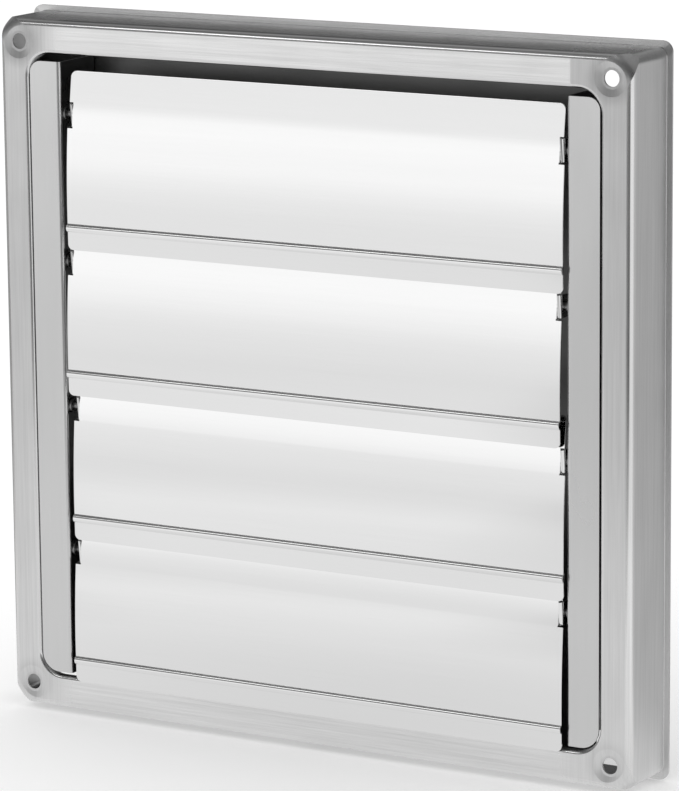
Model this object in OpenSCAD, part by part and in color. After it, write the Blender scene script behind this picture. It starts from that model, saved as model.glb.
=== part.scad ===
// Square wall vent cover with four gravity flaps, in stainless sheet.
// X runs to the right, Y runs away from the viewer into the wall, Z runs up.
// The origin is the centre of the four screw holes, on the floor of their dishes.

/* [Frame] */
// Width and height of the frame over its side walls
frame_w = 200; // [190:1:260]
// Depth from the front face to the back of the rear flange
frame_d = 20.8; // [20:0.1:30]
// Thickness of the frame sheet
frame_t = 0.6; // [0.4:0.05:0.8]
// Corner radius of the flat front face
face_r = 9; // [8:0.5:11]
// Outside radius of the corners between the walls
wall_r = 3; // [2.5:0.5:4]
// Outside radius of the front edge
edge_r = 2.1; // [1.2:0.1:3]
// Width of the rear flange beyond the walls
flange_w = 1.6; // [1.2:0.1:4]
// Outline radius of the rear flange
flange_corner_r = 3; // [1:0.5:5]
// Radius of the bend between the wall and the rear flange
flange_bend_r = 0.8; // [0.7:0.1:1.2]
// Width of the front band between the wall and the opening
band_w = 9.5; // [9:0.1:12]
// Corner radius of the opening
opening_r = 7; // [4:0.5:8]
// Outside radius of the turned-in edge of the opening
curl_r = 1.2; // [0.9:0.1:1.5]
// Depth of the turned-in edge of the opening
curl_d = 2.4; // [1.8:0.1:4]

/* [Screw holes] */
// Distance from the middle of a screw hole to the outside of the walls
screw_edge = 6.5; // [6:0.1:6.8]
// Diameter of the screw holes
screw_d = 4.5; // [3.5:0.1:5]
// Radius of the dish pressed round a screw hole
dish_r = 4.9; // [4.6:0.1:5.2]
// Depth of the dish
dish_d = 0.5; // [0.4:0.1:0.7]
// Width of the flat floor round a screw hole
dish_floor = 0.7; // [0.5:0.1:1]

/* [Back plate] */
// Thickness of the back plate
plate_t = 0.6; // [0.4:0.05:1]
// How far the back plate lies in front of the wall
plate_inset = 0.8; // [0.8:0.1:1.5]
// Height of the bent rims of the back plate
plate_rim = 8; // [5:0.5:10]
// Width of the notch in each corner of the back plate, where the wall screws pass
notch_w = 19.5; // [12:0.5:24]
// Height of the notch in each corner of the back plate
notch_h = 13.5; // [12:0.5:24]
// Fitting gap round the back plate and round the duct collar
plate_fit = 0.1; // [0.05:0.05:0.3]

/* [Duct collar] */
// Gap between the flange of the collar and the legs of the side channels
collar_gap = 12.2; // [11:0.1:25]
// Length of the duct collar behind the wall face
collar_len = 30; // [15:1:60]
// Thickness of the collar sheet
collar_t = 0.6; // [0.4:0.05:1]
// Width of the flange of the collar
collar_flange = 6; // [5.5:0.5:8]
// Height of the rolled bead that stops the duct
stop_rise = 1; // [0.8:0.1:1.4]
// Radius of the rolled bead that stops the duct
stop_r = 2; // [1.8:0.1:3]
// How far behind the wall face the duct stops
stop_from = 5; // [4.5:0.5:10]
// Number of rivets that hold the collar
collar_rivets = 6; // [4:1:8]

/* [Side channels] */
// Width of the front strip of a channel
strip_w = 9.9; // [9:0.1:10.4]
// Thickness of the channel sheet
channel_t = 0.5; // [0.4:0.05:0.8]
// How far the strip lies behind the front face
strip_recess = 0.5; // [0.3:0.1:1]
// Outside radius of the channel bends
channel_bend = 1.1; // [0.9:0.1:1.4]
// Radius of the upper corner of the front strip
strip_top_r = 3.5; // [3:0.5:6]
// Radius of the lower corner of the front strip
strip_low_r = 5.5; // [5:0.5:7]
// Gap between the front strip and the side of the opening
strip_gap = 0.4; // [0.3:0.1:1]
// Gap above the front strip
strip_top_gap = 2.3; // [1:0.1:4]
// Gap below the front strip
strip_bottom_gap = 1; // [0.5:0.1:3]
// Width of the rear foot of a channel
foot_w = 8; // [7:0.5:9]
// Number of rivets in each channel foot
foot_rivets = 3; // [2:1:5]
// Distance of the end rivets from the top and bottom of a foot
foot_rivet_end = 24; // [10:1:40]
// Distance of the rivets from the outer edge of a foot
foot_rivet_edge = 3.2; // [2.6:0.1:3.4]

/* [Flaps] */
// How far the top edge of a flap reaches above the bead in front of it
panel_rise = 2.4; // [1.5:0.1:3.2]
// Height of the lip below the middle of the bead
lip_h = 6.3; // [5.8:0.1:6.8]
// How far the lowest lip hangs below the edge of the opening
lip_cover = 0.7; // [0.3:0.1:1.2]
// Gap between the top flap and the top of the opening
flap_top_gap = 4.6; // [4:0.1:6]
// Thickness of the flap sheet
flap_t = 0.5; // [0.4:0.05:0.6]
// How far the panel leans forward from its top edge to its bead
panel_lean = 2.9; // [2.5:0.1:3.1]
// How far the middle of the panel bows forward
panel_bow = 1; // [0.5:0.1:1.3]
// How far the top edge of the panel lies behind the front face
panel_recess = 2.2; // [2:0.1:2.5]
// Outside radius of the bead
bead_r = 1.25; // [1:0.05:1.4]
// How far the front of the bead stands in front of the panel
bead_rise = 0.9; // [0.6:0.1:1.1]
// Gap between the lowest lip and the face of the frame
lip_gap = 0.1; // [0.05:0.05:0.3]
// Gap between the end of a flap and the side channel, when the flap hangs in the middle
flap_side_gap = 1.5; // [1.4:0.1:3]
// How far the part above the ears is set in at each end
shoulder_in = 0.5; // [0.3:0.1:0.8]
// Radius of the upper corners of a flap
flap_top_r = 1.8; // [1:0.1:3]
// Radius of the lower corners of a flap
flap_low_r = 1.7; // [1:0.1:3]

/* [Hinges] */
// Distance from the top edge of a flap down to its pivot
pivot_drop = 12.5; // [12:0.1:13]
// Distance from the front face back to the pivots
pivot_y = 4; // [3.8:0.1:4.4]
// Height of an ear, which is twice the radius of its round end
ear_h = 6.4; // [5.6:0.1:7]
// Outside radius of the fold between the panel and an ear
fold_r = 1; // [0.8:0.1:1.3]
// Width of the relief slots above and below an ear
relief_w = 0.4; // [0.3:0.1:0.8]
// Diameter of the neck of a pin, in the wall of the channel
pin_neck_d = 3; // [2.9:0.1:3.6]
// Diameter of the journal of a pin
pin_d = 2.4; // [2:0.1:2.8]
// Running clearance round a journal, on the radius
pin_clear = 0.05; // [0.03:0.01:0.1]
// Diameter of the shoulder of a pin
pin_shoulder_d = 4.4; // [4:0.1:5]
// Side play between a shoulder and an ear, when the flap hangs in the middle
side_play = 1.3; // [1:0.1:1.4]
// Diameter of the head of a pin
pin_head_d = 5; // [4.5:0.1:6]
// Thickness of the head of a pin
pin_head_t = 0.9; // [0.6:0.1:1.2]
// How far a journal reaches past its ear, when the flap has slid away from it
pin_past = 0.7; // [0.5:0.1:1.5]

/* [Rivets] */
// Diameter of the rivet shanks
rivet_d = 2.4; // [2:0.1:3]
// Diameter of the rivet heads
rivet_head_d = 4.4; // [4:0.1:5]
// Thickness of the rivet heads
rivet_head_t = 0.6; // [0.4:0.1:0.7]

/* [Hidden] */
// Radius of the front edge in the corners, just wide enough to reach round the corner of the walls.
ball_r = sqrt(2) * (face_r + edge_r - wall_r) + wall_r - face_r + 0.03;
// The corner roll starts this far in front of the face, so that it meets the face at a small angle.
ball_lift = 0.01;
$fn = 48;
bow_fn = 720;
flap_count = 4;
// How far each flap has slid to the right, as a share of its side play.
flap_slide = [0.8, 0.15, 0.97, 0.55];
half = frame_w / 2;
opening_half = half - band_w;
screw_half = half - screw_edge;
plate_back = frame_d - plate_inset;
plate_front = plate_back - plate_t;
plate_half = half - frame_t - plate_fit;
channel_outer = opening_half - strip_gap;
channel_inner = channel_outer - strip_w;
channel_top = opening_half - strip_top_gap;
channel_bottom = -opening_half + strip_bottom_gap;
foot_front = plate_front - channel_t;
collar_r = channel_inner - collar_gap - collar_flange;
flap_half = channel_inner - flap_side_gap;
ear_half = flap_half - shoulder_in;
flap_top = opening_half - flap_top_gap;
flap_drop = flap_top + opening_half + lip_cover;
flap_pitch = (flap_drop - panel_rise - lip_h) / flap_count;
panel_h = flap_pitch + panel_rise;
function pivot_z(i) = flap_top - (i - 1) * flap_pitch - pivot_drop;

// A flap's own section is drawn as (Y, Z) from its pivot.
top_z = pivot_drop;
bead_z = pivot_drop - panel_h;
lip_z = bead_z - lip_h;
top_y = panel_recess - pivot_y;
low_y = top_y - panel_lean;
lip_y = -lip_gap - flap_t - pivot_y;
bead_y = low_y - bead_rise + bead_r;

// The panel is an arc through its top edge and the bead, bowed forward by panel_bow.
chord = [low_y - top_y, bead_z - top_z];
chord_len = norm(chord);
bow_r = chord_len * chord_len / (8 * panel_bow) + panel_bow / 2;
back_way = [-chord[1], chord[0]] / chord_len;
bow_centre = [(top_y + low_y) / 2, (top_z + bead_z) / 2] + back_way * (bow_r - panel_bow);

// The module turns a flat X-Y outline into a solid that runs along Z from low to high.
module along_z(low, high) {
    translate([0, 0, low]) linear_extrude(high - low) children();
}

// The module turns an outline drawn as (Y, Z) into a solid that runs along X.
module along_x(low, high) {
    translate([low, 0, 0]) rotate([90, 0, 90]) linear_extrude(high - low) children();
}

// The module turns an outline drawn as (X, Z) into a solid that runs along Y.
module along_y(low, high) {
    translate([0, high, 0]) rotate([90, 0, 0]) linear_extrude(high - low) children();
}

// A square outline with round corners, made of true arcs.
module round_square(reach, r) {
    square([2 * reach, 2 * (reach - r)], center = true);
    square([2 * (reach - r), 2 * reach], center = true);
    for (sx = [-1, 1])
        for (sz = [-1, 1])
            translate([sx * (reach - r), sz * (reach - r)]) circle(r = r);
}

// A quarter of a ring in the quadrant that sx and sy name.
module quarter_ring(outer, t, sx, sy) {
    intersection() {
        difference() {
            circle(r = outer);
            circle(r = outer - t);
        }
        translate([sx > 0 ? 0 : -outer, sy > 0 ? 0 : -outer]) square(outer);
    }
}

// The section is drawn as (distance outwards from the corner centre, Y) and runs round a square.
// reach is where the corner centres lie.
module swept_square(reach) {
    for (turn = [0:3])
        rotate([0, turn * 90, 0]) {
            translate([-reach, 0, reach]) rotate([90, 0, 90])
                linear_extrude(2 * reach) mirror([1, -1, 0]) children();
            translate([reach, 0, reach]) rotate([-90, 0, 0])
                mirror([0, 1, 0]) rotate_extrude(angle = 90) children();
        }
}

// The section of the solid box inside the walls, with its front edge rolled, made smaller by inset.
module box_section(inset) {
    translate([0, edge_r]) square([wall_r - inset, frame_d - flange_bend_r - edge_r]);
    translate([0, inset]) square([wall_r - edge_r, edge_r]);
    translate([wall_r - edge_r, edge_r]) intersection() {
        circle(r = edge_r - inset);
        translate([0, -edge_r]) square(edge_r);
    }
}

// What a corner of the box keeps: the front edge is rolled wider there, round the flat face.
module ball_section(inset) {
    centre_y = ball_r - ball_lift;
    translate([0, centre_y]) square([face_r + ball_r - inset, ball_r]);
    translate([0, inset - ball_lift]) square([face_r, ball_r]);
    translate([face_r, centre_y]) intersection() {
        circle(r = ball_r - inset);
        translate([0, -ball_r]) square(ball_r);
    }
}

// The outside of the front and walls, made smaller by inset.
module frame_form(inset) {
    reach = half - edge_r - face_r;
    core = half - wall_r;
    difference() {
        union() {
            swept_square(core) box_section(inset);
            along_y(inset, frame_d - flange_bend_r) square(2 * core, center = true);
        }
        for (sx = [-1, 1])
            for (sz = [-1, 1])
                translate([sx * reach, 0, sz * reach]) difference() {
                    translate([sx > 0 ? 0 : -half, -1, sz > 0 ? 0 : -half]) cube([half, ball_r + 1, half]);
                    rotate([-90, 0, 0]) rotate_extrude() ball_section(inset);
                }
    }
}

// The section of the bend from the wall to the flange.
module flange_bend_section() {
    bend_y = frame_d - flange_bend_r;
    translate([wall_r - frame_t + flange_bend_r, bend_y]) quarter_ring(flange_bend_r, frame_t, -1, 1);
}

// The section of the turned-in edge of the opening.
module curl_section() {
    translate([opening_r + curl_r, curl_r]) quarter_ring(curl_r, frame_t, -1, -1);
    translate([opening_r, curl_r]) square([frame_t, curl_d - curl_r]);
}

module screw_places() {
    for (sx = [-1, 1])
        for (sz = [-1, 1])
            translate([sx * screw_half, 0, sz * screw_half]) rotate([-90, 0, 0]) children();
}

// The dish is a shallow cone with a flat floor round the hole.
module dish_form(drop) {
    floor_r = screw_d / 2 + dish_floor;
    rotate_extrude()
        polygon([[0, -1], [dish_r, -1], [dish_r, drop], [floor_r, dish_d + drop], [0, dish_d + drop]]);
}

module frame() {
    color("silver")
    difference() {
        union() {
            difference() {
                frame_form(0);
                frame_form(frame_t);
                along_y(-1, 1) round_square(opening_half + curl_r, opening_r + curl_r);
            }
            swept_square(half - wall_r) flange_bend_section();
            swept_square(opening_half - opening_r) curl_section();
            along_y(frame_d - frame_t, frame_d) difference() {
                round_square(half + flange_w, flange_corner_r);
                round_square(half - frame_t + flange_bend_r, wall_r - frame_t + flange_bend_r);
            }
            intersection() {
                frame_form(0);
                screw_places() intersection() {
                    translate([0, 0, frame_t]) dish_form(0);
                    cylinder(r = dish_r, h = 5);
                }
            }
        }
        screw_places() {
            dish_form(0);
            translate([0, 0, -1]) cylinder(d = screw_d, h = 5);
        }
    }
}

module notched_square(reach) {
    square([2 * (reach - notch_w), 2 * reach], center = true);
    square([2 * reach, 2 * (reach - notch_h)], center = true);
}

// The flat sheet behind the flaps, with four bent rims that lie against the frame walls.
module back_plate() {
    color("darkgray")
    difference() {
        union() {
            along_y(plate_front, plate_back) notched_square(plate_half);
            for (turn = [0:3]) {
                rim_half = plate_half - (turn % 2 == 0 ? notch_w : notch_h);
                rotate([0, turn * 90, 0])
                    translate([-rim_half, plate_back - plate_rim, plate_half - plate_t])
                        cube([2 * rim_half, plate_rim, plate_t]);
            }
        }
        rotate([-90, 0, 0]) cylinder(r = collar_r + plate_fit, h = frame_d);
        collar_rivet_places() rivet_bore();
        for (side = [-1, 1])
            foot_rivet_places(side) rivet_bore();
    }
}

// The section of the collar, drawn as (distance from the axis, Y): flange, tube and rolled bead.
module collar_section() {
    inside = collar_r - collar_t;
    front = plate_front - collar_t;
    stop_in = collar_r + stop_rise - stop_r;
    stop_y = frame_d + stop_from - sqrt(stop_r * stop_r - (stop_r - stop_rise) * (stop_r - stop_rise));
    difference() {
        union() {
            translate([inside, front]) square([collar_t, frame_d + collar_len - front]);
            translate([inside, front]) square([collar_t + collar_flange, collar_t]);
            intersection() {
                translate([stop_in, stop_y]) circle(r = stop_r);
                translate([inside, stop_y - stop_r]) square(2 * stop_r);
            }
        }
        translate([stop_in, stop_y]) circle(r = stop_r - collar_t);
    }
}

// The rolled tube that the duct slides over, with a flange in front of the back plate.
module duct_collar() {
    color("gray")
    difference() {
        rotate([-90, 0, 0]) rotate_extrude() collar_section();
        collar_rivet_places() rivet_bore();
    }
}

module collar_rivet_places() {
    ring_r = collar_r + collar_flange / 2;
    for (i = [0:collar_rivets - 1])
        rotate([0, (i + 0.5) * 360 / collar_rivets, 0])
            translate([ring_r, plate_front, 0]) rotate([-90, 0, 0]) children();
}

module foot_rivet_places(side) {
    low = channel_bottom + foot_rivet_end;
    high = channel_top - foot_rivet_end;
    for (i = [0:foot_rivets - 1])
        translate([side * (channel_inner + foot_w - foot_rivet_edge), plate_front,
                   low + i * (high - low) / (foot_rivets - 1)])
            rotate([-90, 0, 0]) children();
}

module rivet_bore() {
    cylinder(d = rivet_d, h = 4 * plate_t + 4 * collar_t, center = true);
}

// A rivet through the sheet in front, which is front_t thick, and the back plate.
module rivet(front_t) {
    translate([0, 0, -front_t]) cylinder(d = rivet_d, h = front_t + plate_t);
    translate([0, 0, -front_t - rivet_head_t]) cylinder(d = rivet_head_d, h = rivet_head_t);
    translate([0, 0, plate_t]) cylinder(d = rivet_head_d, h = rivet_head_t);
}

module collar_rivet_set() {
    color("dimgray") collar_rivet_places() rivet(collar_t);
}

module channel_rivet_set(side) {
    color("dimgray") foot_rivet_places(side) rivet(channel_t);
}

// The C section of a side channel: front strip, inner leg and rear foot, open to the outside.
module channel_section() {
    b = channel_bend;
    translate([channel_inner + b, strip_recess + b]) quarter_ring(b, channel_t, -1, -1);
    translate([channel_inner + b, strip_recess]) square([strip_w - b, channel_t]);
    translate([channel_inner, strip_recess + b]) square([channel_t, plate_front - strip_recess - 2 * b]);
    translate([channel_inner + b, plate_front - b]) quarter_ring(b, channel_t, -1, 1);
    translate([channel_inner + b, foot_front]) square([foot_w - b, channel_t]);
}

// The front outline of a channel, with its outer corners rounded.
module channel_outline() {
    tall = channel_top - channel_bottom;
    translate([channel_inner, channel_bottom]) square([strip_w - strip_low_r, tall]);
    translate([channel_inner, channel_bottom + strip_low_r])
        square([strip_w, tall - strip_low_r - strip_top_r]);
    translate([channel_inner, channel_top - strip_top_r]) square([strip_w - strip_top_r, strip_top_r]);
    translate([channel_outer - strip_low_r, channel_bottom + strip_low_r]) circle(r = strip_low_r);
    translate([channel_outer - strip_top_r, channel_top - strip_top_r]) circle(r = strip_top_r);
}

module channel(side) {
    color("gainsboro")
    difference() {
        mirror([side < 0 ? 1 : 0, 0, 0])
            intersection() {
                along_z(channel_bottom, channel_top) channel_section();
                along_y(0, frame_d) channel_outline();
            }
        for (i = [1:flap_count])
            translate([side * channel_inner, pivot_y, pivot_z(i)])
                rotate([0, 90, 0]) cylinder(d = pin_neck_d, h = 4, center = true);
        foot_rivet_places(side) rivet_bore();
    }
}

module panel_section() {
    top = [top_y, top_z];
    low = [low_y, bead_z];
    intersection() {
        translate(bow_centre) difference() {
            circle(r = bow_r, $fn = bow_fn);
            circle(r = bow_r - flap_t, $fn = bow_fn);
        }
        polygon([bow_centre, bow_centre + (top - bow_centre) * 1.1, bow_centre + (low - bow_centre) * 1.1]);
    }
}

module lip_section() {
    polygon([[low_y, bead_z], [lip_y, lip_z], [lip_y + flap_t, lip_z], [low_y + flap_t, bead_z]]);
}

module flap_section() {
    difference() {
        union() {
            panel_section();
            lip_section();
            intersection() {
                translate([bead_y, bead_z]) circle(r = bead_r);
                translate([low_y - bead_r, bead_z - bead_r]) square([bead_r + flap_t, 2 * bead_r]);
            }
        }
        translate([bead_y, bead_z]) circle(r = bead_r - flap_t);
    }
}

// The outline of a flap from the front, with its shoulders, relief slots and round corners.
module flap_outline() {
    ear_z = ear_h / 2;
    slot_in = fold_r + relief_w / 2;
    difference() {
        union() {
            outline_block(ear_half, -ear_z - relief_w, top_z, flap_top_r, 1);
            outline_block(flap_half, lip_z, -ear_z - relief_w, flap_low_r, -1);
        }
        for (side = [-1, 1])
            for (z = [-ear_z - relief_w / 2, ear_z + relief_w / 2])
                translate([side * ear_half, z]) square([2 * slot_in, relief_w], center = true);
    }
}

// A block with two round corners, at its top where up is 1 and at its foot where up is -1.
module outline_block(reach, low, high, r, up) {
    round_z = up > 0 ? high - r : low + r;
    translate([-reach, up > 0 ? low : low + r]) square([2 * reach, high - low - r]);
    translate([r - reach, low]) square([2 * (reach - r), high - low]);
    for (side = [-1, 1])
        translate([side * (reach - r), round_z]) circle(r = r);
}

// The panel's lean beside the ears, and its front there at the height of the pivot.
ear_lean = atan2(bow_centre[1], bow_centre[0]);
ear_front = bow_centre[0] - sqrt(bow_r * bow_r - bow_centre[1] * bow_centre[1]);

// The fold of an ear: what the rounding takes off outside, and the ring that stays.
module fold_section(side, kept) {
    translate([side * (ear_half - fold_r), fold_r]) {
        if (kept)
            quarter_ring(fold_r, flap_t, side, -1);
        else
            difference() {
                translate([side > 0 ? 0 : -2 * fold_r, -2 * fold_r]) square(2 * fold_r);
                circle(r = fold_r);
            }
    }
}

module ear_fold(side, kept) {
    translate([0, ear_front, 0]) rotate([-ear_lean, 0, 0])
        along_z(-ear_h / 2, ear_h / 2) fold_section(side, kept);
}

module ear_section() {
    r = ear_h / 2;
    reach = -top_y + panel_lean + panel_bow + 1;
    circle(r = r);
    translate([-reach, -r]) square([reach, ear_h]);
}

module flap(i) {
    color("whitesmoke")
    translate([side_play * flap_slide[i - 1], pivot_y, pivot_z(i)])
    difference() {
        union() {
            difference() {
                union() {
                    intersection() {
                        along_x(-flap_half, flap_half) flap_section();
                        along_y(-20, 20) flap_outline();
                    }
                    for (x = [-ear_half, ear_half - flap_t])
                        along_x(x, x + flap_t) intersection() {
                            ear_section();
                            translate(bow_centre) circle(r = bow_r, $fn = bow_fn);
                        }
                }
                for (side = [-1, 1])
                    ear_fold(side, false);
            }
            for (side = [-1, 1])
                ear_fold(side, true);
        }
        rotate([0, 90, 0]) cylinder(d = pin_d + 2 * pin_clear, h = 2 * flap_half + 2, center = true);
    }
}

// A pin: head inside the channel, neck in its wall, shoulder, and journal in the ear.
module pin(i, side) {
    shoulder_len = flap_side_gap + shoulder_in - side_play;
    color("slategray")
    translate([side * channel_inner, pivot_y, pivot_z(i)]) rotate([0, -90 * side, 0]) {
        translate([0, 0, -channel_t - pin_head_t]) cylinder(d = pin_head_d, h = pin_head_t);
        translate([0, 0, -channel_t]) cylinder(d = pin_neck_d, h = channel_t);
        cylinder(d = pin_shoulder_d, h = shoulder_len);
        cylinder(d = pin_d, h = shoulder_len + 2 * side_play + flap_t + pin_past);
    }
}

// Everything is drawn from the front face, which lies one dish depth in front of the origin.
module placed() {
    translate([0, -dish_d, 0]) children();
}

placed() frame();
placed() back_plate();
placed() duct_collar();
placed() collar_rivet_set();  // collar_rivets
placed() channel(-1);  // left_channel
placed() channel(1);  // right_channel
placed() channel_rivet_set(-1);  // left_channel_rivets
placed() channel_rivet_set(1);  // right_channel_rivets
placed() flap(1);  // flap_1
placed() flap(2);  // flap_2
placed() flap(3);  // flap_3
placed() flap(4);  // flap_4
placed() pin(1, -1);  // pin_1_left
placed() pin(1, 1);  // pin_1_right
placed() pin(2, -1);  // pin_2_left
placed() pin(2, 1);  // pin_2_right
placed() pin(3, -1);  // pin_3_left
placed() pin(3, 1);  // pin_3_right
placed() pin(4, -1);  // pin_4_left
placed() pin(4, 1);  // pin_4_right
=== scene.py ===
from math import cos, pi, radians, sin

import bmesh
import bpy
from mathutils import Matrix, Vector


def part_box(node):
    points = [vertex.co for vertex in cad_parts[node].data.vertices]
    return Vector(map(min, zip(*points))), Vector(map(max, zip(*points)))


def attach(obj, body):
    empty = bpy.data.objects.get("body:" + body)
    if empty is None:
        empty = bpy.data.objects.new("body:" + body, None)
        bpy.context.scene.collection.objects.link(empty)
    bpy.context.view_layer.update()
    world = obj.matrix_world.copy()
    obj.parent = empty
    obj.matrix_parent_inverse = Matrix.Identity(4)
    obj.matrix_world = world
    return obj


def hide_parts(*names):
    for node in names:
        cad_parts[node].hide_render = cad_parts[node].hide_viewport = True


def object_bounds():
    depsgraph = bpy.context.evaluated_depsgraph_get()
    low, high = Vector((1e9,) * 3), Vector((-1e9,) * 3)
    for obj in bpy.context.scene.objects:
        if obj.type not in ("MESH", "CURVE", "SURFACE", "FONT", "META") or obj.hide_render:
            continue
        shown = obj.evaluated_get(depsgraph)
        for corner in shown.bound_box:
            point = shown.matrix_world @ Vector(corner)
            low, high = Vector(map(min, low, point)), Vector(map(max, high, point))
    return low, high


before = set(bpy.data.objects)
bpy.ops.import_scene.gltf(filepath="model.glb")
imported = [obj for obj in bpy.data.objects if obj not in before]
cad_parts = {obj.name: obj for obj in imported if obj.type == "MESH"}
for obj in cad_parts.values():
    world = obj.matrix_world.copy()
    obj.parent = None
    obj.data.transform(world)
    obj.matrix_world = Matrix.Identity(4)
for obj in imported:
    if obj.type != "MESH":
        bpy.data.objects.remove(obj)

bl_info = {
    "name": "Wall vent cover",
    "version": (1, 0, 0),
    "blender": (4, 5, 0),
    "location": "View3D > Sidebar > Vent Cover",
    "description": "Dresses the packed wall vent cover in brushed and bright steel and sets it on a pale stage",
    "category": "Object",
}

CAD_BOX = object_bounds()
FLAPS = ("flap_1", "flap_2", "flap_3", "flap_4")
CHANNELS = ("left_channel", "right_channel")
SIDES = ("left", "right")
IMAGE_HIGH_PX = 791
NOTCH_EDGE = 0.0858
SENSOR = 36.0


class VentFinishSettings(bpy.types.PropertyGroup):
    """Colours and grain of the steel"""
    frame_colour: bpy.props.FloatVectorProperty(
        name="Frame", description="Colour of the brushed frame", subtype="COLOR", size=3,
        default=(0.85, 0.85, 0.85), min=0.0, max=1.0)
    strip_colour: bpy.props.FloatVectorProperty(
        name="Channels", description="Colour of the satin side channels", subtype="COLOR", size=3,
        default=(0.765, 0.765, 0.765), min=0.0, max=1.0)
    flap_colour: bpy.props.FloatVectorProperty(
        name="Flaps", description="Colour of the bright flaps", subtype="COLOR", size=3,
        default=(0.95, 0.95, 0.95), min=0.0, max=1.0)
    # Darker than mill finished sheet: partly the sheet's own colour, partly painted shade for the unlit inside.
    mill_and_shade_colour: bpy.props.FloatVectorProperty(
        name="Back sheet", description="Colour of the mill finished back plate and collar", subtype="COLOR",
        size=3, default=(0.32, 0.32, 0.32), min=0.0, max=1.0)
    pin_colour: bpy.props.FloatVectorProperty(
        name="Pins", description="Colour of the turned pins", subtype="COLOR", size=3,
        default=(0.28, 0.28, 0.28), min=0.0, max=1.0)
    rivet_colour: bpy.props.FloatVectorProperty(
        name="Rivets", description="Colour of the rivets", subtype="COLOR", size=3,
        default=(0.45, 0.45, 0.45), min=0.0, max=1.0)
    grain_edge: bpy.props.FloatProperty(
        name="Grain edge", description="Distance from the middle where the grain of the frame turns upright",
        unit="LENGTH", default=0.0815, min=0.05, max=0.12)
    cut_edge: bpy.props.FloatProperty(
        name="Cut edge", description="Width of the small bevel along the cut edges of the flaps",
        unit="LENGTH", default=0.0001, min=0.0, max=0.0002)


class VentFastenerSettings(bpy.types.PropertyGroup):
    """Shape of the pins and rivets"""
    dome_rise: bpy.props.FloatProperty(
        name="Dome", description="How much of a head's thickness is domed", subtype="FACTOR",
        default=0.75, min=0.1, max=0.9)
    draw_hole: bpy.props.FloatProperty(
        name="Draw hole", description="Diameter of the hole left in the middle of a rivet head",
        unit="LENGTH", default=0.0012, min=0.0005, max=0.002)


class VentStageSettings(bpy.types.PropertyGroup):
    """Floor, light and camera"""
    floor_half: bpy.props.FloatProperty(
        name="Floor", description="Half the width of the floor", unit="LENGTH", default=5.0, min=1.0, max=20.0)
    floor_colour: bpy.props.FloatVectorProperty(
        name="Floor colour", description="Colour of the floor", subtype="COLOR", size=3,
        default=(0.90, 0.90, 0.90), min=0.0, max=1.0)
    softbox_power: bpy.props.FloatProperty(
        name="Softbox", description="Power of the soft light at the upper left", unit="POWER",
        default=2.0, min=0.0, max=200.0)
    azimuth: bpy.props.FloatProperty(
        name="Azimuth", description="Angle of the camera to the right of the front", unit="ROTATION",
        default=radians(30.163))
    elevation: bpy.props.FloatProperty(
        name="Elevation", description="Angle of the camera above the floor", unit="ROTATION",
        default=radians(11.453))
    roll: bpy.props.FloatProperty(
        name="Roll", description="Turn of the camera round its own axis", unit="ROTATION",
        default=radians(-0.539))
    distance: bpy.props.FloatProperty(
        name="Distance", description="Distance from the camera to the middle of the front", unit="LENGTH",
        default=1.235215, min=0.3, max=10.0)
    aim_right: bpy.props.FloatProperty(
        name="Aim right", description="How far the middle of the front lies right of the view's middle",
        unit="LENGTH", default=-0.008988)
    aim_up: bpy.props.FloatProperty(
        name="Aim up", description="How far the middle of the front lies above the view's middle",
        unit="LENGTH", default=-0.000119)
    focal_px: bpy.props.FloatProperty(
        name="Focal length", description="Focal length in pixels of the photograph",
        default=4470.059, min=500.0, max=20000.0)
    face_depth: bpy.props.FloatProperty(
        name="Face depth", description="Place of the front face along Y", unit="LENGTH", default=-0.0005)


def add_socket(group, name, way, kind, default=None):
    """Adds one named input or output to a node group."""
    socket = group.interface.new_socket(name=name, in_out=way, socket_type=kind)
    if default is not None:
        socket.default_value = default


def new_group(name, inputs, outputs):
    """Makes an empty shader group with its sockets, and returns it with its two end nodes."""
    group = bpy.data.node_groups.new(name, "ShaderNodeTree")
    for socket_name, kind, default in inputs:
        add_socket(group, socket_name, "INPUT", kind, default)
    for socket_name, kind in outputs:
        add_socket(group, socket_name, "OUTPUT", kind)
    return group, group.nodes.new("NodeGroupInput"), group.nodes.new("NodeGroupOutput")


def math_node(tree, operation, first, second=None, third=None):
    """A Math node whose inputs are sockets or plain numbers. Returns its output."""
    node = tree.nodes.new("ShaderNodeMath")
    node.operation = operation
    for i, value in enumerate((first, second, third)):
        if value is None:
            continue
        if isinstance(value, (int, float)):
            node.inputs[i].default_value = value
        else:
            tree.links.new(value, node.inputs[i])
    return node.outputs[0]


def stretched_noise(tree, vector, stretch, detail, roughness=0.5):
    """Noise on a vector that is first stretched. Returns the noise's value."""
    scale = tree.nodes.new("ShaderNodeVectorMath")
    scale.operation = "MULTIPLY"
    tree.links.new(vector, scale.inputs[0])
    if isinstance(stretch, tuple):
        scale.inputs[1].default_value = stretch
    else:
        tree.links.new(stretch, scale.inputs[1])
    noise = tree.nodes.new("ShaderNodeTexNoise")
    noise.inputs["Scale"].default_value = 1.0
    noise.inputs["Detail"].default_value = detail
    noise.inputs["Roughness"].default_value = roughness
    tree.links.new(scale.outputs[0], noise.inputs["Vector"])
    return noise.outputs[0]


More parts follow.
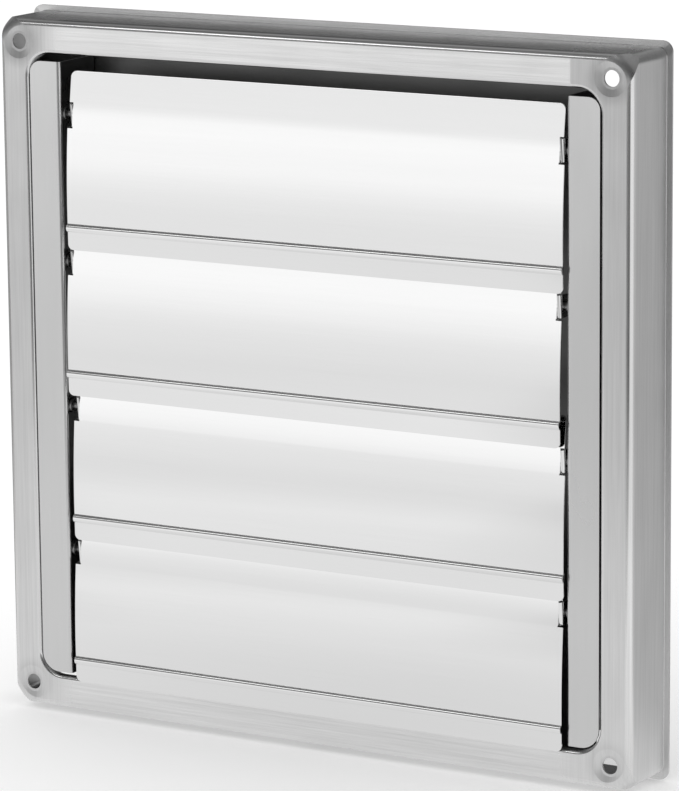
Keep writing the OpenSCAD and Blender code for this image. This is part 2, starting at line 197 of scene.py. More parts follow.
def grain_group():
    """Long fine scratches along one direction: Height for a bump, and Tone that brightens or darkens."""
    name = "Sheet grain"
    if name in bpy.data.node_groups:
        return bpy.data.node_groups[name]
    group, start, end = new_group(
        name,
        [("Vector", "NodeSocketVector", None), ("Stretch", "NodeSocketVector", (40.0, 40.0, 2400.0)),
         ("Contrast", "NodeSocketFloat", 0.1)],
        [("Height", "NodeSocketFloat"), ("Tone", "NodeSocketFloat")])
    fine = stretched_noise(group, start.outputs["Vector"], start.outputs["Stretch"], 3.0, 0.6)
    broad_scale = group.nodes.new("ShaderNodeVectorMath")
    broad_scale.operation = "SCALE"
    group.links.new(start.outputs["Stretch"], broad_scale.inputs[0])
    broad_scale.inputs["Scale"].default_value = 0.22
    broad = stretched_noise(group, start.outputs["Vector"], broad_scale.outputs[0], 2.0)
    both = math_node(group, "ADD", math_node(group, "MULTIPLY", fine, 0.7), math_node(group, "MULTIPLY", broad, 0.3))
    spread = math_node(group, "SUBTRACT", both, 0.5)
    tone = math_node(group, "MULTIPLY_ADD", spread, start.outputs["Contrast"], 1.0)
    group.links.new(both, end.inputs["Height"])
    group.links.new(tone, end.inputs["Tone"])
    return group


def cloud_group():
    """Soft uneven patches, as handling and rolling leave them."""
    name = "Soft patches"
    if name in bpy.data.node_groups:
        return bpy.data.node_groups[name]
    group, start, end = new_group(
        name,
        [("Vector", "NodeSocketVector", None), ("Stretch", "NodeSocketVector", (30.0, 30.0, 30.0)),
         ("Low", "NodeSocketFloat", 0.3), ("High", "NodeSocketFloat", 0.4)],
        [("Value", "NodeSocketFloat")])
    patches = stretched_noise(group, start.outputs["Vector"], start.outputs["Stretch"], 3.0)
    remap = group.nodes.new("ShaderNodeMapRange")
    remap.inputs["From Min"].default_value = 0.3
    remap.inputs["From Max"].default_value = 0.7
    group.links.new(patches, remap.inputs["Value"])
    group.links.new(start.outputs["Low"], remap.inputs["To Min"])
    group.links.new(start.outputs["High"], remap.inputs["To Max"])
    group.links.new(remap.outputs[0], end.inputs["Value"])
    return group


def upright_mask_group():
    """1 on the two upright bands of the frame and on their walls, 0 between them.

    The change is sharp at the upper right corner, where the band was masked, and soft at the others."""
    name = "Upright bands"
    if name in bpy.data.node_groups:
        return bpy.data.node_groups[name]
    group, start, end = new_group(
        name,
        [("Vector", "NodeSocketVector", None), ("Edge", "NodeSocketFloat", 0.0815)],
        [("Mask", "NodeSocketFloat")])
    split = group.nodes.new("ShaderNodeSeparateXYZ")
    group.links.new(start.outputs["Vector"], split.inputs[0])
    away = math_node(group, "ABSOLUTE", split.outputs["X"])
    past = math_node(group, "SUBTRACT", away, start.outputs["Edge"])
    right = math_node(group, "GREATER_THAN", split.outputs["X"], 0.0)
    masked = math_node(group, "MULTIPLY", right, math_node(group, "GREATER_THAN", split.outputs["Z"], 0.0))
    width = math_node(group, "MULTIPLY_ADD", masked, -0.0088, 0.0095)
    share = math_node(group, "DIVIDE", past, width)
    above = math_node(group, "ABSOLUTE", split.outputs["Z"])
    beside = math_node(group, "GREATER_THAN", math_node(group, "SUBTRACT", away, above), -0.0002)
    behind = math_node(group, "GREATER_THAN", split.outputs["Y"], 0.0032)
    ease = group.nodes.new("ShaderNodeMapRange")
    ease.interpolation_type = "SMOOTHSTEP"
    ease.inputs["From Min"].default_value = -0.5
    ease.inputs["From Max"].default_value = 0.5
    group.links.new(share, ease.inputs["Value"])
    choose = group.nodes.new("ShaderNodeMix")
    group.links.new(behind, choose.inputs[0])
    group.links.new(ease.outputs[0], choose.inputs[2])
    group.links.new(beside, choose.inputs[3])
    group.links.new(choose.outputs[0], end.inputs["Mask"])
    return group


def near_screw_group():
    """1 round the screw holes, fading to 0 outside the dishes. There the pressed sheet is made matt, and its colour
    darker as painted shade in the dishes.
    """
    name = "Round the screws"
    if name in bpy.data.node_groups:
        return bpy.data.node_groups[name]
    group, start, end = new_group(
        name,
        [("Vector", "NodeSocketVector", None), ("Reach", "NodeSocketFloat", 0.0935)],
        [("Mask", "NodeSocketFloat")])
    split = group.nodes.new("ShaderNodeSeparateXYZ")
    group.links.new(start.outputs["Vector"], split.inputs[0])
    across = math_node(group, "SUBTRACT", math_node(group, "ABSOLUTE", split.outputs["X"]), start.outputs["Reach"])
    along = math_node(group, "SUBTRACT", math_node(group, "ABSOLUTE", split.outputs["Z"]), start.outputs["Reach"])
    away = math_node(group, "SQRT", math_node(group, "ADD", math_node(group, "MULTIPLY", across, across),
                                              math_node(group, "MULTIPLY", along, along)))
    fade = group.nodes.new("ShaderNodeMapRange")
    fade.interpolation_type = "SMOOTHSTEP"
    fade.inputs["From Min"].default_value = 0.0085
    fade.inputs["From Max"].default_value = 0.0035
    group.links.new(away, fade.inputs["Value"])
    group.links.new(fade.outputs[0], end.inputs["Mask"])
    return group


def new_metal(name, colour, anisotropic):
    """A metal material with plain numbers on its own sockets. Returns the material, shader and coordinates."""
    material = bpy.data.materials.new(name)
    material.use_nodes = True
    tree = material.node_tree
    shader = tree.nodes["Principled BSDF"]
    shader.inputs["Metallic"].default_value = 1.0
    shader.inputs["Anisotropic"].default_value = anisotropic
    shader.inputs["Base Color"].default_value = (*colour, 1.0)
    coordinates = tree.nodes.new("ShaderNodeTexCoord")
    return material, shader, coordinates.outputs["Object"]


def place_group(tree, group, vector, **values):
    """Puts a group into a material with its own values."""
    node = tree.nodes.new("ShaderNodeGroup")
    node.node_tree = group
    tree.links.new(vector, node.inputs["Vector"])
    for socket, value in values.items():
        node.inputs[socket].default_value = value
    return node


def tint(tree, colour, tone):
    """The colour times the tone."""
    scale = tree.nodes.new("ShaderNodeVectorMath")
    scale.operation = "SCALE"
    scale.inputs[0].default_value = colour
    tree.links.new(tone, scale.inputs["Scale"])
    return scale.outputs[0]


def add_bump(tree, shader, height, distance, strength=1.0):
    bump = tree.nodes.new("ShaderNodeBump")
    bump.inputs["Distance"].default_value = distance
    bump.inputs["Strength"].default_value = strength
    tree.links.new(height, bump.inputs["Height"])
    tree.links.new(bump.outputs[0], shader.inputs["Normal"])


def across_grain(tree, grain):
    """The direction on the surface that is square to the grain, for the shader's tangent."""
    surface = tree.nodes.new("ShaderNodeNewGeometry")
    cross = tree.nodes.new("ShaderNodeVectorMath")
    cross.operation = "CROSS_PRODUCT"
    tree.links.new(surface.outputs["Normal"], cross.inputs[0])
    cross.inputs[1].default_value = grain
    nudge = tree.nodes.new("ShaderNodeVectorMath")
    nudge.operation = "ADD"
    tree.links.new(cross.outputs[0], nudge.inputs[0])
    nudge.inputs[1].default_value = (0.01, 0.01, 0.01)
    return nudge.outputs[0]


def mixed(tree, kind, mask, first, second):
    """Mixes two values or vectors by a mask."""
    mix = tree.nodes.new("ShaderNodeMix")
    mix.data_type = kind
    sockets = {"FLOAT": (0, 2, 3, 0), "VECTOR": (0, 4, 5, 1)}[kind]
    tree.links.new(mask, mix.inputs[sockets[0]])
    tree.links.new(first, mix.inputs[sockets[1]])
    tree.links.new(second, mix.inputs[sockets[2]])
    return mix.outputs[sockets[3]]


def frame_metal(settings):
    """Brushed steel whose grain runs along each band of the frame, with painted shade on the rear flange's front
    face and round the screw holes.
    """
    material, shader, place = new_metal("Brushed frame", settings.frame_colour, 0.75)
    tree = material.node_tree
    level = place_group(tree, grain_group(), place, Stretch=(30.0, 900.0, 1500.0), Contrast=0.5)
    upright = place_group(tree, grain_group(), place, Stretch=(1500.0, 900.0, 30.0), Contrast=0.4)
    mask = place_group(tree, upright_mask_group(), place, Edge=settings.grain_edge).outputs["Mask"]
    height = mixed(tree, "FLOAT", mask, level.outputs["Height"], upright.outputs["Height"])
    tone = mixed(tree, "FLOAT", mask, level.outputs["Tone"], upright.outputs["Tone"])
    tangent = mixed(tree, "VECTOR", mask, across_grain(tree, (1.0, 0.0, 0.0)), across_grain(tree, (0.0, 0.0, 1.0)))
    patches = place_group(tree, cloud_group(), place, Stretch=(60.0, 60.0, 60.0), Low=0.21, High=0.27)
    pressed = place_group(tree, near_screw_group(), place, Reach=0.0935).outputs["Mask"]
    # 5 percent darker round the screw holes: painted shade in the dishes.
    dish_painted_shade = math_node(tree, "MULTIPLY", tone, math_node(tree, "MULTIPLY_ADD", pressed, -0.05, 1.0))
    rough = math_node(tree, "MULTIPLY_ADD", mask, 0.12, patches.outputs["Value"])
    matt = math_node(tree, "MULTIPLY_ADD", pressed, 0.15, rough)
    surface = tree.nodes.new("ShaderNodeNewGeometry")
    facing = tree.nodes.new("ShaderNodeSeparateXYZ")
    tree.links.new(surface.outputs["Normal"], facing.inputs[0])
    front = math_node(tree, "MULTIPLY", facing.outputs["Y"], facing.outputs["Y"])
    rolled = math_node(tree, "MULTIPLY", front, math_node(tree, "SUBTRACT", 1.0, front))
    sideways = math_node(tree, "MULTIPLY", facing.outputs["X"], facing.outputs["X"])
    upward = math_node(tree, "MULTIPLY", facing.outputs["Z"], facing.outputs["Z"])
    corner = math_node(tree, "MULTIPLY", sideways, upward)
    along = math_node(tree, "MAXIMUM", math_node(tree, "MULTIPLY_ADD", corner, -12.0, 1.0), 0.0)
    polished = math_node(tree, "MULTIPLY", rolled, along)
    scuffed = math_node(tree, "MULTIPLY_ADD", corner, 1.6, matt)
    rougher = math_node(tree, "MAXIMUM", math_node(tree, "MULTIPLY_ADD", polished, -1.2, scuffed), 0.1)
    # The front face of the rear flange is made 20 percent darker: painted shade.
    spot = tree.nodes.new("ShaderNodeSeparateXYZ")
    tree.links.new(place, spot.inputs[0])
    at_rear = math_node(tree, "GREATER_THAN", spot.outputs["Y"], 0.0186)
    turned_out = math_node(tree, "LESS_THAN", facing.outputs["Y"], -0.7)
    flange_painted_shade = math_node(tree, "MULTIPLY", at_rear, turned_out)
    shaded = math_node(tree, "MULTIPLY", dish_painted_shade, math_node(tree, "MULTIPLY_ADD", flange_painted_shade, -0.2, 1.0))
    tree.links.new(tint(tree, settings.frame_colour, shaded), shader.inputs["Base Color"])
    tree.links.new(rougher, shader.inputs["Roughness"])
    tree.links.new(tangent, shader.inputs["Tangent"])
    add_bump(tree, shader, height, 0.000006)
    return material


def strip_metal(settings):
    """Satin steel with a fine upright grain, and painted shade on the inner legs."""
    material, shader, place = new_metal("Satin channel", settings.strip_colour, 0.6)
    tree = material.node_tree
    grain = place_group(tree, grain_group(), place, Stretch=(3200.0, 3200.0, 30.0), Contrast=0.08)
    patches = place_group(tree, cloud_group(), place, Stretch=(70.0, 70.0, 25.0), Low=0.22, High=0.28)
    # The inner legs of the channels are made 65 percent darker: painted shade.
    split = tree.nodes.new("ShaderNodeSeparateXYZ")
    tree.links.new(place, split.inputs[0])
    inside = math_node(tree, "LESS_THAN", math_node(tree, "ABSOLUTE", split.outputs["X"]), 0.0808)
    deep = math_node(tree, "GREATER_THAN", split.outputs["Y"], 0.0012)
    leg_painted_shade = math_node(tree, "MULTIPLY_ADD", math_node(tree, "MULTIPLY", inside, deep), -0.65, 1.0)
    tone = math_node(tree, "MULTIPLY", grain.outputs["Tone"], leg_painted_shade)
    tree.links.new(tint(tree, settings.strip_colour, tone), shader.inputs["Base Color"])
    tree.links.new(patches.outputs["Value"], shader.inputs["Roughness"])
    tree.links.new(across_grain(tree, (0.0, 0.0, 1.0)), shader.inputs["Tangent"])
    add_bump(tree, shader, grain.outputs["Height"], 0.000003)
    return material


def flap_metal(settings):
    """Bright rolled steel with a faint grain along the flap."""
    material, shader, place = new_metal("Bright flap", settings.flap_colour, 0.5)
    tree = material.node_tree
    grain = place_group(tree, grain_group(), place, Stretch=(35.0, 2600.0, 2600.0), Contrast=0.04)
    patches = place_group(tree, cloud_group(), place, Stretch=(22.0, 60.0, 60.0), Low=0.045, High=0.07)
    tree.links.new(tint(tree, settings.flap_colour, grain.outputs["Tone"]), shader.inputs["Base Color"])
    tree.links.new(patches.outputs["Value"], shader.inputs["Roughness"])
    tree.links.new(across_grain(tree, (1.0, 0.0, 0.0)), shader.inputs["Tangent"])
    add_bump(tree, shader, grain.outputs["Height"], 0.000001)
    return material


def room_by_bearing(tree, x, y):
    """How bright the room is by bearing: dark where the camera stands, a bright panel to its right."""
    bearing = math_node(tree, "ARCTAN2", x, math_node(tree, "MULTIPLY", y, -1.0))
    around = tree.nodes.new("ShaderNodeValToRGB")
    tree.links.new(math_node(tree, "MULTIPLY_ADD", bearing, 0.5 / pi, 0.5), around.inputs["Fac"])
    set_ramp(around, [(0.0, 0.45), (0.22, 0.40), (0.34, 0.45), (0.38, 1.0), (0.44, 1.0), (0.48, 0.35), (0.63, 0.15),
                      (0.66, 1.0), (0.78, 1.0), (0.81, 0.6), (1.0, 0.45)])
    return around.outputs["Color"]


def product(tree, first, second):
    """The product of two colours."""
    node = tree.nodes.new("ShaderNodeMix")
    node.data_type = "RGBA"
    node.blend_type = "MULTIPLY"
    node.inputs["Factor"].default_value = 1.0
    tree.links.new(first, node.inputs[6])
    tree.links.new(second, node.inputs[7])
    return node.outputs[2]


def plain_metal(name, colour, low, high, stretch):
    """Steel with soft patches, for the hidden sheets and the small turned parts."""
    material, shader, place = new_metal(name, colour, 0.0)
    tree = material.node_tree
    grain = place_group(tree, grain_group(), place, Stretch=stretch, Contrast=0.12)
    patches = place_group(tree, cloud_group(), place, Stretch=(45.0, 45.0, 45.0), Low=low, High=high)
    tree.links.new(tint(tree, colour, grain.outputs["Tone"]), shader.inputs["Base Color"])
    tree.links.new(patches.outputs["Value"], shader.inputs["Roughness"])
    add_bump(tree, shader, grain.outputs["Height"], 0.000004)
    return material


def finish_piece(mesh_data, name, body, material, nodes):
    """Puts a new piece in the scene, in place of its CAD nodes."""
    piece = bpy.data.objects.new(name, mesh_data)
    bpy.context.scene.collection.objects.link(piece)
    piece.data.materials.clear()
    piece.data.materials.append(material)
    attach(piece, body)
    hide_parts(*nodes)
    return piece


def merged_copy(node):
    """The mesh of a CAD node as a bmesh whose triangles share their corners."""
    shape = bmesh.new()
    shape.from_mesh(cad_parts[node].data)
    bmesh.ops.remove_doubles(shape, verts=shape.verts, dist=1e-6)
    return shape


def sharp_edges(shape, limit):
    return [e for e in shape.edges if len(e.link_faces) == 2 and e.calc_face_angle(0.0) > limit]


def cut_sheet(node, name, width, body, material):
    """A folded sheet with its cut edges broken by a small bevel, and even shading."""
    shape = merged_copy(node)
    bmesh.ops.dissolve_limit(shape, angle_limit=radians(0.1), verts=shape.verts, edges=shape.edges)
    bmesh.ops.bevel(shape, geom=sharp_edges(shape, radians(50)), offset=width, affect="EDGES", segments=2,
                    profile=0.5, material=-1)
    for face in shape.faces:
        face.smooth = True
    mesh_data = bpy.data.meshes.new(name)
    shape.to_mesh(mesh_data)
    shape.free()
    mesh_data.set_sharp_from_angle(angle=radians(35))
    piece = finish_piece(mesh_data, name, body, material, [node])
    even = piece.modifiers.new("Even shading", "WEIGHTED_NORMAL")
    even.keep_sharp = True
    return piece


def separate_parts(node):
    """The middle and box of each loose part of a CAD node."""
    shape = merged_copy(node)
    left = set(shape.verts)
    boxes = []
    while left:
        reached = [left.pop()]
        part = []
        while reached:
            corner = reached.pop()
            part.append(corner.co.copy())
            for edge in corner.link_edges:
                other = edge.other_vert(corner)
                if other in left:
                    left.remove(other)
                    reached.append(other)
        low = Vector([min(c[i] for c in part) for i in range(3)])
        high = Vector([max(c[i] for c in part) for i in range(3)])
        boxes.append((low, high))
    shape.free()
    boxes.sort(key=lambda pair: (round(pair[0].x, 5), round(pair[0].z, 5)))
    return boxes


def turned(shape, profile, start, axis, steps=48):
    """Turns a profile of (distance along the axis, radius) into a closed solid on that axis."""
    axis = Vector(axis)
    side = axis.orthogonal().normalized()
    corners = [shape.verts.new(start + axis * along + side * radius) for along, radius in profile]
    edges = [shape.edges.new(pair) for pair in zip(corners, corners[1:])]
    bmesh.ops.spin(shape, geom=corners + edges, cent=start, axis=axis, angle=2 * pi, steps=steps, use_merge=True)


def close_turned(shape, name):
    """Merges the poles of turned solids, turns their faces outwards and returns the mesh."""
    bmesh.ops.remove_doubles(shape, verts=shape.verts, dist=1e-7)
    bmesh.ops.recalc_face_normals(shape, faces=shape.faces)
    for face in shape.faces:
        face.smooth = True
    mesh_data = bpy.data.meshes.new(name)
    shape.to_mesh(mesh_data)
    shape.free()
    mesh_data.set_sharp_from_angle(angle=radians(35))
    return mesh_data


def dome(along, sign, radius, thick, rise, points=6):
    """Points of a domed head from its middle to its foot. sign is the way that the head looks."""
    edge = thick * (1 - rise)
    line = []
    for i in range(points + 1):
        turn = (i / points) * pi / 2
        line.append((along + sign * (edge + (thick - edge) * cos(turn)), radius * sin(turn)))
    line.append((along, radius))
    return line


class VENT_OT_stage(bpy.types.Operator):
    """Makes the pale floor, the world, the soft light and the camera"""
    bl_idname = "vent.stage"
    bl_label = "Stage"

    def execute(self, context):
        settings = context.scene.vent_stage
        self.make_floor(settings)
        self.make_world(context.scene)
        self.make_softbox(settings)
        self.make_camera(context.scene, settings)
        return {"FINISHED"}

    def make_floor(self, settings):
        shape = bmesh.new()
        bmesh.ops.create_grid(shape, x_segments=2, y_segments=2, size=settings.floor_half)
        bmesh.ops.translate(shape, verts=shape.verts, vec=(0.0, 0.0, CAD_BOX[0][2] - 0.0002))
        mesh_data = bpy.data.meshes.new("floor")
        shape.to_mesh(mesh_data)
        shape.free()
        floor = bpy.data.objects.new("floor", mesh_data)
        bpy.context.scene.collection.objects.link(floor)
        floor.data.materials.append(self.floor_paint(settings))

    def floor_paint(self, settings):
        """A pale floor that keeps the shadow and is white to the camera. To metal it is a glow that dims near the
        object: painted shade.
        """
        material = bpy.data.materials.new("Pale floor")
        material.use_nodes = True
        tree = material.node_tree
        shader = tree.nodes["Principled BSDF"]
        shader.inputs["Base Color"].default_value = (*settings.floor_colour, 1.0)
        shader.inputs["Roughness"].default_value = 0.9
        shader.inputs["Specular IOR Level"].default_value = 0.0
        paths = tree.nodes.new("ShaderNodeLightPath")
        lift = tree.nodes.new("ShaderNodeEmission")
        tree.links.new(math_node(tree, "MULTIPLY", paths.outputs["Is Camera Ray"], 0.14), lift.inputs["Strength"])
        seen = tree.nodes.new("ShaderNodeAddShader")
        tree.links.new(shader.outputs[0], seen.inputs[0])
        tree.links.new(lift.outputs[0], seen.inputs[1])
        place = tree.nodes.new("ShaderNodeTexCoord")
        away = tree.nodes.new("ShaderNodeVectorMath")
        away.operation = "LENGTH"
        tree.links.new(place.outputs["Object"], away.inputs[0])
        # How bright the floor glows to metal, dimmer near the object: painted shade.
        ramp = tree.nodes.new("ShaderNodeValToRGB")
        tree.links.new(math_node(tree, "MULTIPLY", away.outputs["Value"], 1 / 3), ramp.inputs["Fac"])
        stops = [(0.0, 0.50), (0.03, 0.68), (0.067, 0.77), (0.12, 0.84), (0.16, 0.78), (0.20, 0.76), (0.26, 0.79),
                 (0.33, 0.81), (0.45, 0.85), (0.6, 0.90), (0.8, 0.95), (1.0, 0.97)]
        set_ramp(ramp, stops)
        split = tree.nodes.new("ShaderNodeSeparateXYZ")
        tree.links.new(place.outputs["Object"], split.inputs[0])
        around = room_by_bearing(tree, split.outputs["X"], split.outputs["Y"])
        mirror = tree.nodes.new("ShaderNodeEmission")
        near = tree.nodes.new("ShaderNodeMix")
        near.data_type = "RGBA"
        reach = tree.nodes.new("ShaderNodeMapRange")
        reach.inputs["From Min"].default_value = 0.2
        reach.inputs["From Max"].default_value = 0.6
        behind = math_node(tree, "MAXIMUM", split.outputs["Y"], 0.0)
        tree.links.new(math_node(tree, "MULTIPLY_ADD", behind, 5.0, away.outputs["Value"]), reach.inputs["Value"])
        tree.links.new(reach.outputs[0], near.inputs["Factor"])
        near.inputs[6].default_value = (1.0, 1.0, 1.0, 1.0)
        tree.links.new(around, near.inputs[7])
        tree.links.new(product(tree, ramp.outputs["Color"], near.outputs[2]), mirror.inputs["Color"])
        choose = tree.nodes.new("ShaderNodeMixShader")
        tree.links.new(paths.outputs["Is Glossy Ray"], choose.inputs["Fac"])
        tree.links.new(seen.outputs[0], choose.inputs[1])
        tree.links.new(mirror.outputs[0], choose.inputs[2])
        tree.links.new(choose.outputs[0], tree.nodes["Material Output"].inputs["Surface"])
        return material

    def make_world(self, scene):
        """Plain white light. What metal mirrors is a room: bright low in front, dim above and dark behind."""
        world = bpy.data.worlds.new("Studio")
        world.use_nodes = True
        scene.world = world
        tree = world.node_tree
        place = tree.nodes.new("ShaderNodeTexCoord")
        split = tree.nodes.new("ShaderNodeSeparateXYZ")
        tree.links.new(place.outputs["Generated"], split.inputs[0])
        height = math_node(tree, "MULTIPLY_ADD", split.outputs["Z"], 0.5, 0.5)
        front = tree.nodes.new("ShaderNodeValToRGB")
        back = tree.nodes.new("ShaderNodeValToRGB")
        tree.links.new(height, front.inputs["Fac"])
        tree.links.new(height, back.inputs["Fac"])
        set_ramp(front, [(0.0, 0.6), (0.45, 0.9), (0.5, 1.0), (0.523, 1.0), (0.528, 0.86), (0.59, 0.84),
                         (0.62, 0.25), (0.8, 0.2), (1.0, 0.4)])
        set_ramp(back, [(0.0, 0.4), (0.48, 0.29), (0.54, 0.09), (0.64, 0.05), (0.8, 0.08), (0.9, 0.25), (1.0, 0.45)])
        around = room_by_bearing(tree, split.outputs["X"], split.outputs["Y"])
        side = tree.nodes.new("ShaderNodeMapRange")
        side.interpolation_type = "SMOOTHSTEP"
        side.inputs["From Min"].default_value = -0.15
        side.inputs["From Max"].default_value = 0.35
        tree.links.new(split.outputs["Y"], side.inputs["Value"])
        mix = tree.nodes.new("ShaderNodeMix")
        mix.data_type = "RGBA"
        tree.links.new(side.outputs[0], mix.inputs["Factor"])
        tree.links.new(product(tree, front.outputs["Color"], around), mix.inputs[6])
        tree.links.new(back.outputs["Color"], mix.inputs[7])
        light = tree.nodes["Background"]
        tree.links.new(mix.outputs[2], light.inputs["Color"])
        white = tree.nodes.new("ShaderNodeBackground")
        white.inputs["Color"].default_value = (1.0, 1.0, 1.0, 1.0)
        paths = tree.nodes.new("ShaderNodeLightPath")
        choose = tree.nodes.new("ShaderNodeMixShader")
        tree.links.new(paths.outputs["Is Glossy Ray"], choose.inputs["Fac"])
        tree.links.new(white.outputs[0], choose.inputs[1])
        tree.links.new(light.outputs[0], choose.inputs[2])
        tree.links.new(choose.outputs[0], tree.nodes["World Output"].inputs["Surface"])

    def make_softbox(self, settings):
        lamp = bpy.data.lights.new("softbox", "AREA")
        lamp.shape = "RECTANGLE"
        lamp.size = 1.2
        lamp.size_y = 0.35
        lamp.energy = settings.softbox_power
        lamp_object = bpy.data.objects.new("softbox", lamp)
        bpy.context.scene.collection.objects.link(lamp_object)
        place = Vector((-0.8, -1.4, 1.6))
        lamp_object.matrix_world = Matrix.Translation(place) @ place.to_track_quat("Z", "Y").to_matrix().to_4x4()

    def make_camera(self, scene, settings):
        """Stands the camera where the photograph was taken from."""
        azimuth = settings.azimuth
        elevation = settings.elevation
        back = Vector((sin(azimuth) * cos(elevation), -cos(azimuth) * cos(elevation), sin(elevation)))
        right = (-back).cross(Vector((0.0, 0.0, 1.0))).normalized()
        up = right.cross(-back)
        x_way = right * cos(settings.roll) + up * sin(settings.roll)
        y_way = up * cos(settings.roll) - right * sin(settings.roll)
        place = back * settings.distance - x_way * settings.aim_right - y_way * settings.aim_up
        place.y += settings.face_depth
        camera = bpy.data.cameras.new("camera")
        camera.sensor_width = SENSOR
        camera.lens = settings.focal_px * SENSOR / IMAGE_HIGH_PX
        camera.clip_start = 0.05
        camera.clip_end = 50.0
        camera_object = bpy.data.objects.new("camera", camera)
        scene.collection.objects.link(camera_object)
        turn = Matrix((x_way, y_way, back)).transposed().to_4x4()
        camera_object.matrix_world = Matrix.Translation(place) @ turn
        scene.camera = camera_object
        scene.view_settings.view_transform = "Standard"


def set_ramp(node, stops):
    """Gives a Color Ramp its grey stops."""
    elements = node.color_ramp.elements
    while len(elements) < len(stops):
        elements.new(0.5)
    for element, (position, level) in zip(elements, stops):
        element.position = position
        element.color = (level, level, level, 1.0)


class VENT_OT_pressed_frame(bpy.types.Operator):
    """Gives the pressed frame its brushed steel"""
    bl_idname = "vent.pressed_frame"
    bl_label = "Pressed frame"

    def execute(self, context):
        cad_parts["frame"].material_slots[0].material = frame_metal(context.scene.vent_finish)
        return {"FINISHED"}


class VENT_OT_side_channels(bpy.types.Operator):
    """Gives the two side channels their satin steel"""
    bl_idname = "vent.side_channels"
    bl_label = "Side channels"

    def execute(self, context):
        material = strip_metal(context.scene.vent_finish)
        for node in CHANNELS:
            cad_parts[node].material_slots[0].material = material
        return {"FINISHED"}


class VENT_OT_flaps(bpy.types.Operator):
    """Makes the four folded flaps with broken edges, in bright steel"""
    bl_idname = "vent.flaps"
    bl_label = "Flaps"

    def execute(self, context):
        settings = context.scene.vent_finish
        material = flap_metal(settings)
        for node in FLAPS:
            cut_sheet(node, node + "_sheet", settings.cut_edge, node + "_body", material)
        return {"FINISHED"}


class VENT_OT_hinge_pins(bpy.types.Operator):
    """Makes the eight turned hinge pins with domed heads"""
    bl_idname = "vent.hinge_pins"
    bl_label = "Hinge pins"

    def execute(self, context):
        rise = context.scene.vent_fastener.dome_rise
        finish = context.scene.vent_finish
        material = plain_metal("Turned pin", finish.pin_colour, 0.25, 0.32, (2500.0, 150.0, 150.0))
        for number in range(1, 5):
            for side in SIDES:
                node = "pin_%d_%s" % (number, side)
                mesh_data = self.turned_pin(node, side, rise)
                finish_piece(mesh_data, "turned_" + node, "housing", material, [node])
        return {"FINISHED"}

    def turned_pin(self, node, side, rise):
        """Head, neck, shoulder and journal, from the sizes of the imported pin."""
        low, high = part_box(node)
        inwards = 1.0 if side == "left" else -1.0
        start = Vector((low.x if side == "left" else high.x, (low.y + high.y) / 2, (low.z + high.z) / 2))
        length = high.x - low.x
        head_t = 0.0009
        head_r = (high.z - low.z) / 2
        neck_end = head_t + 0.0005
        shoulder_end = neck_end + 0.0007
        profile = [(0.0, 0.0)]
        profile += [(head_t * (1 - cos(i * pi / 12)) * rise, head_r * sin(i * pi / 12)) for i in range(1, 7)]
        profile += [(head_t, head_r), (head_t, 0.0015), (neck_end, 0.0015), (neck_end, 0.0021),
                    (neck_end + 0.0001, 0.0022), (shoulder_end - 0.0001, 0.0022), (shoulder_end, 0.0021),
                    (shoulder_end, 0.0012), (length - 0.0002, 0.0012), (length, 0.0010), (length, 0.0)]
        shape = bmesh.new()
        turned(shape, profile, start, (inwards, 0.0, 0.0))
        return close_turned(shape, node)


class VENT_OT_rivets(bpy.types.Operator):
    """Makes the domed rivets of the collar and of the channel feet"""
    bl_idname = "vent.rivets"
    bl_label = "Rivets"

    def execute(self, context):
        settings = context.scene.vent_fastener
        finish = context.scene.vent_finish
        material = plain_metal("Rivet", finish.rivet_colour, 0.3, 0.4, (400.0, 400.0, 400.0))
        for node in ("collar_rivets", "left_channel_rivets", "right_channel_rivets"):
            shape = bmesh.new()
            for low, high in separate_parts(node):
                self.add_rivet(shape, low, high, settings)
            finish_piece(close_turned(shape, node), "domed_" + node, "housing", material, [node])
        return {"FINISHED"}

    def add_rivet(self, shape, low, high, settings):
        """A blind rivet: a domed head with a draw hole in front, and a plain domed head behind."""
        length = high.y - low.y
        head_r = (high.z - low.z) / 2
        head_t = 0.0006
        hole_r = settings.draw_hole / 2
        front = dome(head_t, -1.0, head_r, head_t, settings.dome_rise)
        rear = dome(length - head_t, 1.0, head_r, head_t, settings.dome_rise)
        outer = [point for point in front if point[1] > hole_r]
        profile = [(head_t, 0.0), (head_t, hole_r), (outer[0][0], hole_r)] + outer
        profile += [(head_t, 0.0012), (length - head_t, 0.0012)] + rear[::-1]
        start = Vector(((low.x + high.x) / 2, low.y, (low.z + high.z) / 2))
        turned(shape, profile, start, (0.0, 1.0, 0.0), steps=32)


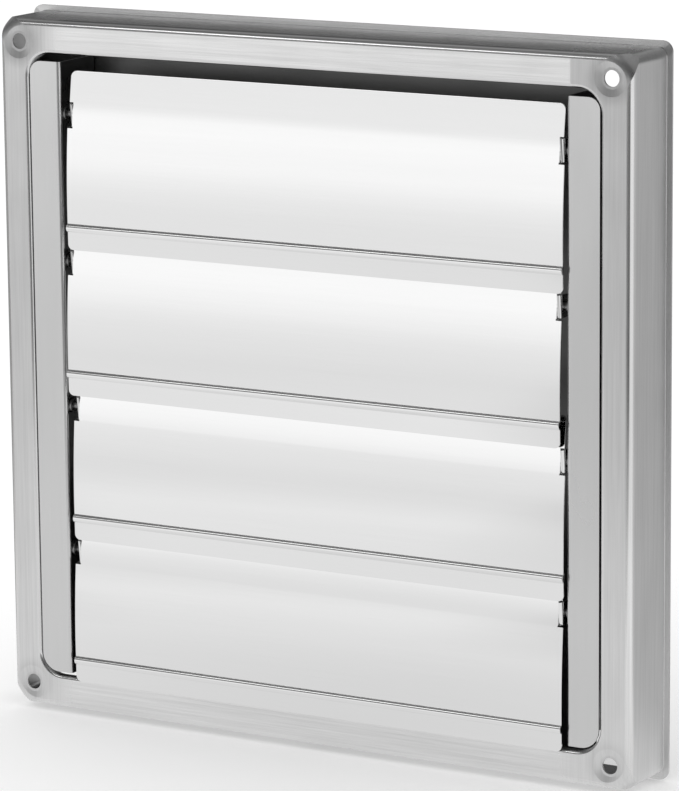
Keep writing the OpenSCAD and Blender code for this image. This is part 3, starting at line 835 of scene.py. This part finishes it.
class VENT_OT_back_sheets(bpy.types.Operator):
    """Makes the back plate with broken edges, and gives it and the duct collar their mill finish, in a colour
    darkened as painted shade
    """
    bl_idname = "vent.back_sheets"
    bl_label = "Back plate and collar"

    def execute(self, context):
        colour = context.scene.vent_finish.mill_and_shade_colour
        plate = plain_metal("Mill plate", colour, 0.38, 0.5, (25.0, 25.0, 700.0))
        collar = plain_metal("Mill collar", colour, 0.34, 0.46, (60.0, 900.0, 60.0))
        piece = cut_sheet("back_plate", "bent_back_plate", context.scene.vent_finish.cut_edge, "housing",
                          plate)
        self.raise_notches(piece.data)
        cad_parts["duct_collar"].material_slots[0].material = collar
        return {"FINISHED"}

    def raise_notches(self, mesh_data):
        """Carries the plate a little further into the corners, so that no light shows above the channels."""
        for corner in mesh_data.vertices:
            if NOTCH_EDGE - 0.0005 < abs(corner.co.z) < NOTCH_EDGE + 0.0005:
                corner.co.z += 0.0026 if corner.co.z > 0 else -0.0026


class VENT_PT_panel(bpy.types.Panel):
    """Lists the makers of the wall vent cover"""
    bl_label = "Vent Cover"
    bl_idname = "VENT_PT_panel"
    bl_space_type = "VIEW_3D"
    bl_region_type = "UI"
    bl_category = "Vent Cover"

    def draw(self, context):
        for operator in OPERATORS:
            self.layout.operator(operator.bl_idname)
        for name in SETTINGS:
            box = self.layout.box()
            settings = getattr(context.scene, name)
            for key in settings.__annotations__:
                box.prop(settings, key)


OPERATORS = (VENT_OT_stage, VENT_OT_pressed_frame, VENT_OT_side_channels, VENT_OT_flaps, VENT_OT_hinge_pins,
             VENT_OT_rivets, VENT_OT_back_sheets)
SETTINGS = {"vent_finish": VentFinishSettings, "vent_fastener": VentFastenerSettings,
            "vent_stage": VentStageSettings}


def register():
    for name, group in SETTINGS.items():
        bpy.utils.register_class(group)
        setattr(bpy.types.Scene, name, bpy.props.PointerProperty(type=group))
    for operator in OPERATORS:
        bpy.utils.register_class(operator)
    bpy.utils.register_class(VENT_PT_panel)


def unregister():
    bpy.utils.unregister_class(VENT_PT_panel)
    for operator in reversed(OPERATORS):
        bpy.utils.unregister_class(operator)
    for name, group in SETTINGS.items():
        delattr(bpy.types.Scene, name)
        bpy.utils.unregister_class(group)


def main():
    register()
    bpy.ops.vent.stage()
    bpy.ops.vent.pressed_frame()
    bpy.ops.vent.side_channels()
    bpy.ops.vent.flaps()
    bpy.ops.vent.hinge_pins()
    bpy.ops.vent.rivets()
    bpy.ops.vent.back_sheets()


if __name__ == "__main__":
    main()
